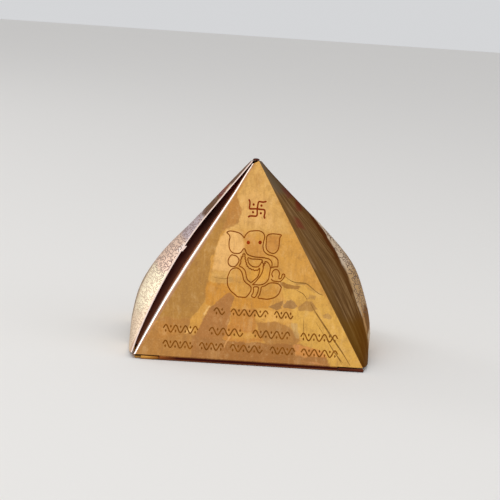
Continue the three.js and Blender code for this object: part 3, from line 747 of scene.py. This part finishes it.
class PYRAMID_OT_stop_strip(Operator):
    """Add the strip inside the left edge, painted dark as shade, that the front panel's flange closes in
    front of
    """
    bl_idname = "pyramid.stop_strip"
    bl_label = "Stop Strip"

    def execute(self, context):
        inside = Face("left_panel", (-1, 0, 0), (0, 1, 0))
        mesh = bmesh.new()
        # The strip's ends in height, its place behind the face and its own measures, in millimetres
        foot, tip, steps = 6.5, 70.5, 24
        behind, drop, breadth = 3.7, 2.2, 3
        thick, lean, lap = 0.34, 0.2, 0.1
        rings = []
        for i in range(steps):
            z = foot + i * (tip - foot) / (steps - 1)
            y, low = MIDDLE_Y - FOOT_HALF + SLOPE * z + behind, z - drop
            start = Vector((MIDDLE_X * MM, y * MM, low * MM))
            hit = inside.tree.ray_cast(start, inside.look)[0]
            if hit is None:
                continue
            outer = hit.x / MM + lap
            inner = MIDDLE_X - (FOOT_HALF - SLOPE * z) + breadth
            ring = ((outer, y, low), (inner, y, low),
                    (inner, y + thick, low - lean), (outer, y + thick, low - lean))
            rings.append([Vector(p) * MM for p in ring])
        if len(rings) < 2:
            raise RuntimeError("the stop strip doesn't meet the left panel")
        bar(mesh, rings)
        finish_piece("left_stop_strip", mesh, "pyramid_body", shaded_strip_finish())
        return {"FINISHED"}


# The traditional sign with its curled arms, and its four dots, in millimetres on the front panel
SIGN_LINES = (
    [(2.3, 59), (2, 58.7), (1, 58.5), (-0.1, 58.6), (-0.7, 58.4), (-0.9, 57.5), (-1.1, 55.9), (-1, 54.1),
     (-1.2, 53.4), (-1.7, 53.2), (-3, 53.2), (-3.9, 53.1), (-4.5, 52.7)],
    [(-4.7, 59.1), (-4.3, 58.8), (-4.1, 58), (-4.1, 57.1), (-4.2, 56.2), (-4, 55.8), (-3.1, 55.8),
     (-1.3, 55.9), (0.3, 55.8), (1.4, 55.8), (1.9, 55.5), (2, 54.5), (1.8, 53.5), (1.9, 52.9),
     (2.3, 52.7)],
)
SIGN_DOTS = ((-2.6, 57.4), (0.5, 57.2), (-2.7, 54.6), (0.4, 54.4))

# The traditional seated elephant-headed figure in open lines, closed lines and two eyes
FIGURE_OPEN = (
    [(-5.6, 45), (-6.2, 45.7), (-6.9, 46.3), (-7.6, 46.7), (-8.8, 47), (-10.2, 47.2), (-11.5, 47.2),
     (-12.5, 46.7), (-12, 46.2), (-11.4, 45.6), (-11.2, 44.9), (-11.4, 43.8), (-11.4, 42.1),
     (-11.1, 40.9), (-10.6, 40.1), (-9.8, 39.5), (-8.7, 39.3), (-7.4, 39.4), (-6.6, 39.8), (-6, 40.7),
     (-5.5, 41.3)],
    [(-5.6, 45), (-5.3, 45.8), (-4.7, 46.7), (-3.7, 47.5), (-2.4, 47.8), (-0.8, 48), (0.5, 47.9),
     (1.6, 47.4), (2.2, 46.6), (2.4, 45.8), (2.1, 44.3), (1.9, 42.9), (2, 41.9), (2.3, 40.9), (3, 40.2),
     (4, 39.6), (5.1, 39.4), (6.5, 39.1), (7.4, 38.5), (8, 37.8), (8.1, 36.8), (8.1, 35.4)],
    [(-5.5, 41.3), (-5, 40.9), (-4.6, 40), (-4, 39.3), (-3.2, 38.9), (-1.3, 38.5), (0.8, 38.4),
     (2.3, 38.4), (3.8, 38.2), (4.8, 37.9), (5.5, 37.2), (5.8, 36.4), (5.7, 35.2)],
    [(8.1, 35.4), (7.2, 35.4), (6.1, 35.2), (5.4, 34.9), (5, 35.4)],
    [(-5.3, 39.5), (-4.9, 39), (-5, 38.5), (-4.7, 38), (-4.9, 37.6), (-4.5, 37.1), (-4.6, 36.6),
     (-4.2, 36.2), (-4.3, 35.7), (-3.9, 35.4), (-3.9, 34.9), (-3.3, 34.7), (-3, 34.2), (-2.4, 34.2),
     (-2.1, 33.8), (-1.4, 33.9), (-1, 33.6), (-0.3, 33.8), (0.3, 33.8), (0.8, 34.4), (1.1, 34.6)],
    [(-5.3, 39.5), (-5.8, 39), (-5.7, 38.4), (-6.3, 38.1), (-6.2, 37.7), (-6.5, 37.1), (-6.4, 36.3),
     (-6.7, 35.5), (-6.9, 34.9), (-5.8, 34.4), (-4.8, 33.6), (-4.3, 32.6), (-4, 31.3), (-3.5, 30.2),
     (-2.7, 29.6), (-2, 29.3), (-0.6, 30.4), (0.4, 31.4), (0.8, 32.4), (1, 33.5), (1.1, 34.6)],
    [(1.9, 37.5), (2, 36.8), (2.4, 36), (2.4, 34.5), (2.1, 33.2), (1.4, 31.8), (0.4, 30.5), (-0.7, 29.2),
     (-1.5, 28.5)],
    [(-1.5, 28.5), (-0.3, 28.6), (1.3, 28.6), (2.8, 29), (3.8, 29.7), (4.7, 30.9), (4.9, 32.3),
     (5.1, 33.7), (5.2, 34.8), (4.9, 35.8), (4.2, 36.7), (3.2, 37.1), (2.9, 36.7), (3.2, 36.4),
     (2.6, 36.2), (2.8, 35.7), (2.3, 35.4), (2.4, 34.8)],
    [(6.4, 31.6), (5.9, 32.7), (6.2, 33.7), (7, 34.4), (7.9, 34.4), (8.6, 33.8), (8.9, 33), (8.7, 32),
     (8.8, 31.3), (9.4, 31.3), (9.8, 32), (10, 32.8), (10.6, 33), (11, 32.5), (10.5, 31.6), (9.9, 30.8),
     (9, 30.2), (7.7, 30.2), (6.4, 30.4), (5.7, 31)],
)
FIGURE_CLOSED = (
    [(3.2, 45.9), (3.6, 46.6), (4.3, 47), (5.5, 47.2), (7.1, 47.2), (8.3, 47.1), (8.9, 46.9), (8.4, 46),
     (8.3, 45), (8.2, 43.5), (8, 42), (7.4, 40.9), (6.4, 40.2), (5.4, 40.2), (4.3, 40.6), (3.5, 41.3),
     (3.1, 42.5), (3.1, 43.9)],
    [(-10.3, 38.6), (-9.3, 38.6), (-8.2, 38.3), (-7.4, 37.5), (-7.2, 36.6), (-7.7, 35.6), (-8.4, 34.8),
     (-9.3, 34.5), (-10.5, 34.7), (-11.2, 35.4), (-11.4, 36.3), (-11.2, 37.3)],
    [(-3.7, 38), (-2.3, 37.7), (-0.8, 37.7), (0.8, 37.7), (1.9, 37.5), (1.6, 36.6), (1, 35.6), (0.2, 35),
     (-1.1, 34.9), (-2.2, 35.2), (-3.1, 35.9), (-3.6, 36.8)],
    [(-10.6, 32.5), (-10, 33.4), (-8.9, 34), (-7.6, 34.1), (-6.5, 33.5), (-5.7, 32.4), (-5.3, 31.2),
     (-4.9, 30), (-3.9, 29), (-2.7, 28.3), (-2, 27.6), (-1.9, 26.7), (-2.3, 25.7), (-3, 24.7), (-4, 23.9),
     (-5.7, 23.9), (-7.1, 24), (-8.3, 24.9), (-9.4, 25.6), (-10.2, 26.4), (-11, 27.7), (-11.2, 28.7),
     (-11.3, 30.4)],
    [(-0.9, 27.7), (0.8, 27.8), (0.9, 26.9), (0.7, 25.9), (0.2, 24.7), (-0.5, 24), (-1.4, 24.3),
     (-1.6, 24.7), (-1.1, 25.5), (-0.9, 26.5)],
    [(2.1, 27.9), (3.4, 28.4), (4.6, 29.2), (5.9, 29.6), (7.5, 29.6), (8.8, 29.3), (9.5, 28.6),
     (9.8, 28.2), (9.4, 26.9), (8.7, 25.6), (7.5, 24.6), (6.2, 24.1), (4.4, 23.7), (2.6, 23.8), (1, 24),
     (1.5, 25.2), (1.9, 26.6)],
)
FIGURE_EYES = ((-3.9, 43.5), (0.7, 43.8))


class PYRAMID_OT_front_sign(Operator):
    """Engrave the sign near the front panel's tip"""
    bl_idname = "pyramid.front_sign"
    bl_label = "Front Sign"

    def execute(self, context):
        settings = context.scene.pyramid_engraving
        face = front_face()
        mesh = bmesh.new()
        for line in SIGN_LINES:
            ribbon(mesh, face, smooth_path(line), settings.sign_width, settings.line_rise)
        for a, b in SIGN_DOTS:
            dot(mesh, face, a, b, 0.46, settings.line_rise)
        engraved("front_sign", mesh, "sign_fill", context.scene.pyramid_finishes.sign_colour, 1.25)
        return {"FINISHED"}


class PYRAMID_OT_front_figure(Operator):
    """Engrave the seated figure in the middle of the front panel"""
    bl_idname = "pyramid.front_figure"
    bl_label = "Front Figure"

    def execute(self, context):
        settings = context.scene.pyramid_engraving
        finishes = context.scene.pyramid_finishes
        face = front_face()
        mesh = bmesh.new()
        for line in FIGURE_OPEN:
            ribbon(mesh, face, smooth_path(line), settings.figure_width, settings.line_rise)
        for line in FIGURE_CLOSED:
            ribbon(mesh, face, smooth_path(line, closed=True), settings.figure_width, settings.line_rise)
        engraved("front_figure", mesh, "figure_fill", finishes.figure_colour, 1.5)
        eyes = bmesh.new()
        for a, b in FIGURE_EYES:
            dot(eyes, face, a, b, 0.7, settings.line_rise)
        engraved("figure_eyes", eyes, "eye_fill", finishes.sign_colour, 1.8)
        return {"FINISHED"}


def wave(mesh, face, left, right, base, height, rise):
    """A waving line with a lozenge in every hollow."""
    count = max(2, round((right - left) / 2))
    step = (right - left) / count
    middle = base + height / 2
    swing, offset, points = 0.36 * height, 0.22 * height, 6
    line = [(left + step * i / points, middle + swing * math.sin(math.pi * i / points))
            for i in range(points * count + 1)]
    ribbon(mesh, face, line, 0.5, rise)
    for i in range(count):
        a, b = left + step * (i + 0.5), middle - (-1) ** i * offset
        ribbon(mesh, face, [(a, b - 0.5), (a, b), (a, b + 0.5)], 0.75, rise, taper=True)


class PYRAMID_OT_front_ornament(Operator):
    """Engrave three broken rows of waves and lozenges under the figure"""
    bl_idname = "pyramid.front_ornament"
    bl_label = "Front Ornament"

    def execute(self, context):
        settings = context.scene.pyramid_engraving
        face = front_face()
        mesh = bmesh.new()
        rows = (
            (16.9, 3.1, ((-15.8, -11.6), (-9.2, 5.2), (7.6, 14.8))),
            (9.6, 3.5, ((-34.8, -21.6), (-17.2, -4.2), (-0.4, 14), (18.2, 32.4))),
            (4.3, 3.3, ((-34.6, -23.2), (-20.6, -11.4), (-8.8, 3.6), (6.6, 16), (18.6, 32.6))),
        )
        for base, height, sprays in rows:
            for left, right in sprays:
                wave(mesh, face, left, right, base, height, settings.line_rise)
        engraved("front_ornament", mesh, "ornament_fill", (0.19, 0.062, 0.004), 1.6)
        return {"FINISHED"}


class PYRAMID_OT_wear_marks(Operator):
    """Scratch the front panel as long use does"""
    bl_idname = "pyramid.wear_marks"
    bl_label = "Wear Marks"

    def execute(self, context):
        face = front_face()
        mesh = bmesh.new()
        scratches = (
            ([(21.3, 23.6), (22.9, 21), (26.2, 16.8), (31, 10.8), (34.6, 6.4), (37.6, 2.3)], 0.62),
            ([(19.1, 18.6), (19.1, 14.5), (19.3, 10.9)], 0.22),
            ([(28.4, 10.6), (31.4, 6.6), (34.9, 2.9)], 0.42),
            ([(30.6, 7.4), (33, 4.6), (34.6, 2.3)], 0.3),
            ([(23.4, 17.2), (26, 13.8), (28.6, 10.2)], 0.16),
            ([(10.4, 32.6), (13, 31), (15.4, 30.3), (19.4, 30.1), (21.8, 28.6), (24.6, 26.8),
              (26.4, 26.4)], 0.42),
            ([(-17.2, 30.4), (-13, 30), (-9.6, 30.6)], 0.16),
            ([(15.6, 27.6), (18.4, 26.4), (20.2, 24.2)], 0.3),
        )
        for line, width in scratches:
            ribbon(mesh, face, smooth_path(line, 5), width, 0.015, taper=True)
        finish_piece("wear_marks", mesh, "front_door",
                     fill_finish("scratch_fill", (0.26, 0.12, 0.02), (0.4, 0.2, 0.05)))
        return {"FINISHED"}


def dark_reflection_border(z):
    """Where the painted dark reflection on the right panel ends, measured rearwards at a height."""
    places = ((-3, -24), (26, -15.6), (38, -9.6), (53, 2.4), (60, 8))
    for (z0, y0), (z1, y1) in zip(places, places[1:]):
        if z <= z1:
            return y0 + (y1 - y0) * (z - z0) / (z1 - z0)
    return places[-1][1]


class PYRAMID_OT_panel_engraving(Operator):
    """Engrave the bowed panels with close rows of small strokes and leaves"""
    bl_idname = "pyramid.panel_engraving"
    bl_label = "Panel Engraving"

    def execute(self, context):
        pitch = context.scene.pyramid_engraving.mark_pitch
        fills = {"left": mark_finish("left_mark_fill", shade(120, 84, 80), shade(204, 176, 146), 0.029),
                 "right": mark_finish("right_mark_fill", shade(80, 48, 28), shade(100, 64, 34), 0.024),
                 "rear": mark_finish("rear_mark_fill", shade(126, 86, 66), shade(140, 100, 78), 0.03)}
        motifs = (
            [(-0.5, -0.3), (-0.1, 0.35), (0.45, 0.4)],
            [(-0.45, 0.35), (0, -0.25), (0.5, -0.1), (0.4, 0.35)],
            [(-0.2, -0.5), (0.15, 0), (-0.1, 0.5)],
            [(-0.5, 0), (-0.1, 0.3), (0.3, 0), (0, -0.35), (-0.4, -0.2)],
            [(-0.45, -0.1), (0, 0.25), (0.45, -0.15)],
        )
        sides = (("left", (1, 0, 0), (0, 1, 0), MIDDLE_Y), ("right", (-1, 0, 0), (0, 1, 0), MIDDLE_Y),
                 ("rear", (0, -1, 0), (1, 0, 0), MIDDLE_X))
        # The rows' lowest and highest place, and the bare strips at their ends, in millimetres
        lowest, highest, first_gap, last_gap = 4.0, 62.0, 1.4, 1.2
        row_step, mark_step, stretch = pitch * 0.9, pitch * 2.3, 2.5
        for side, look, across, middle in sides:
            chance = random.Random(len(side) * 31 + 7)
            face = Face(f"{side}_panel", look, across)
            mesh = bmesh.new()
            low = lowest
            while low < highest:
                half = FOOT_HALF - SLOPE * low
                a = middle - half + first_gap + chance.uniform(0, 1)
                while a < middle + half - last_gap:
                    motif = chance.choice(motifs)
                    turn = chance.uniform(-0.9, 0.9)
                    size = pitch * chance.uniform(0.7, 1.1) * (1.3 if side == "right" else 1)
                    shift = chance.uniform(-0.25, 0.25)
                    share = (a - middle) / half
                    bare = chance.random() < 0.1
                    if side == "right":
                        bare = (bare or a < dark_reflection_border(low) + 1.5 or low < 15 + 3 * chance.random()
                                or low > 52)
                    elif side == "left":
                        bare = bare or (low > 51 and chance.random() < 0.6) or (share < -0.9 and low < 10)
                    if not bare:
                        c, s = math.cos(turn), math.sin(turn)
                        line = [(a + stretch * size * (u * c - v * s), low + shift + size * (u * s + v * c))
                                for u, v in motif]
                        ribbon(mesh, face, smooth_path(line, 2), 0.26, 0.025, broad=2.4)
                    a += mark_step
                low += row_step
            finish_piece(f"{side}_panel_engraving", mesh, "pyramid_body", fills[side])
        return {"FINISHED"}


class PYRAMID_OT_stage(Operator):
    """Set the floor, the lamps, the world and the camera"""
    bl_idname = "pyramid.stage"
    bl_label = "Stage"

    def execute(self, context):
        scene = context.scene
        scene.view_settings.view_transform = "Standard"
        floor_mesh = bpy.data.meshes.new("floor")
        floor_mesh.from_pydata([(-2, -2, 0), (2, -2, 0), (2, 2, 0), (-2, 2, 0)], [], [(0, 1, 2, 3)])
        floor = bpy.data.objects.new("floor", floor_mesh)
        scene.collection.objects.link(floor)
        paper = bpy.data.materials.new("floor_paper")
        paper.use_nodes = True
        feed(paper.node_tree.nodes["Principled BSDF"], {"Base Color": (0.82, 0.8, 0.77), "Roughness": 0.9})
        floor_mesh.materials.append(paper)
        target = Vector((MIDDLE_X * MM, MIDDLE_Y * MM, 0.025))
        lamp_target = Vector((0, 0, 0.03))
        # The place and the size in metres, and the power in watts
        lamps = (
            ("edge_lamp", (-0.45, -0.22, 0.86), 0.6, 1.9),
            ("front_lamp", (0.05, -0.65, 0.8), 0.9, 1.1),
            ("back_left_lamp", (-0.98, 0.75, 0.34), 0.5, 2.3),
            ("right_lamp", (0.8, -0.5, 0.4), 0.6, 0.8),
        )
        for name, place, size, power in lamps:
            lamp = bpy.data.lights.new(name, "AREA")
            lamp.size = size
            lamp.energy = power
            thing = bpy.data.objects.new(name, lamp)
            thing.location = place
            thing.rotation_euler = (lamp_target - Vector(place)).to_track_quat("-Z", "Y").to_euler()
            scene.collection.objects.link(thing)
        world = bpy.data.worlds.new("studio")
        scene.world = world
        world.use_nodes = True
        feed(world.node_tree.nodes["Background"], {"Color": (0.92, 0.93, 0.95), "Strength": 0.72})
        camera = bpy.data.cameras.new("camera")
        camera.lens = 144.0
        camera.sensor_width = 36.0
        camera.shift_x = -0.0009
        camera.shift_y = 0.0609
        camera.clip_start = 0.01
        holder = bpy.data.objects.new("camera", camera)
        height, turn, roll = math.radians(10.46), math.radians(-1.89), math.radians(4)
        distance = 0.80468
        back = Vector((math.sin(turn) * math.cos(height), -math.cos(turn) * math.cos(height),
                       math.sin(height)))
        eye = target + back * distance
        aim = (target - eye).to_track_quat("-Z", "Y").to_matrix().to_4x4()
        holder.matrix_world = Matrix.Translation(eye) @ aim @ Matrix.Rotation(roll, 4, "Z")
        scene.collection.objects.link(holder)
        scene.camera = holder
        return {"FINISHED"}


class PYRAMID_PT_panel(Panel):
    bl_label = "Vastu Pyramid"
    bl_idname = "PYRAMID_PT_panel"
    bl_space_type = "VIEW_3D"
    bl_region_type = "UI"
    bl_category = "Pyramid"

    def draw(self, context):
        layout = self.layout
        for group in (context.scene.pyramid_finishes, context.scene.pyramid_engraving):
            for name in group.__annotations__:
                layout.prop(group, name)
        for operator in OPERATORS:
            layout.operator(operator.bl_idname)


OPERATORS = (PYRAMID_OT_stage, PYRAMID_OT_front_panel, PYRAMID_OT_bowed_panels, PYRAMID_OT_tray_and_hinge,
             PYRAMID_OT_stop_strip, PYRAMID_OT_tip_bead, PYRAMID_OT_front_sign, PYRAMID_OT_front_figure,
             PYRAMID_OT_front_ornament, PYRAMID_OT_wear_marks, PYRAMID_OT_panel_engraving)
CLASSES = (PyramidFinishes, PyramidEngraving, *OPERATORS, PYRAMID_PT_panel)


def register():
    for cls in CLASSES:
        bpy.utils.register_class(cls)
    bpy.types.Scene.pyramid_finishes = PointerProperty(type=PyramidFinishes)
    bpy.types.Scene.pyramid_engraving = PointerProperty(type=PyramidEngraving)


def unregister():
    del bpy.types.Scene.pyramid_engraving
    del bpy.types.Scene.pyramid_finishes
    for cls in reversed(CLASSES):
        bpy.utils.unregister_class(cls)


def main():
    register()
    bpy.ops.pyramid.stage()
    bpy.ops.pyramid.front_panel()
    bpy.ops.pyramid.bowed_panels()
    bpy.ops.pyramid.tray_and_hinge()
    bpy.ops.pyramid.stop_strip()
    bpy.ops.pyramid.tip_bead()
    bpy.ops.pyramid.front_sign()
    bpy.ops.pyramid.front_figure()
    bpy.ops.pyramid.front_ornament()
    bpy.ops.pyramid.wear_marks()
    bpy.ops.pyramid.panel_engraving()


if __name__ == "__main__":
    main()
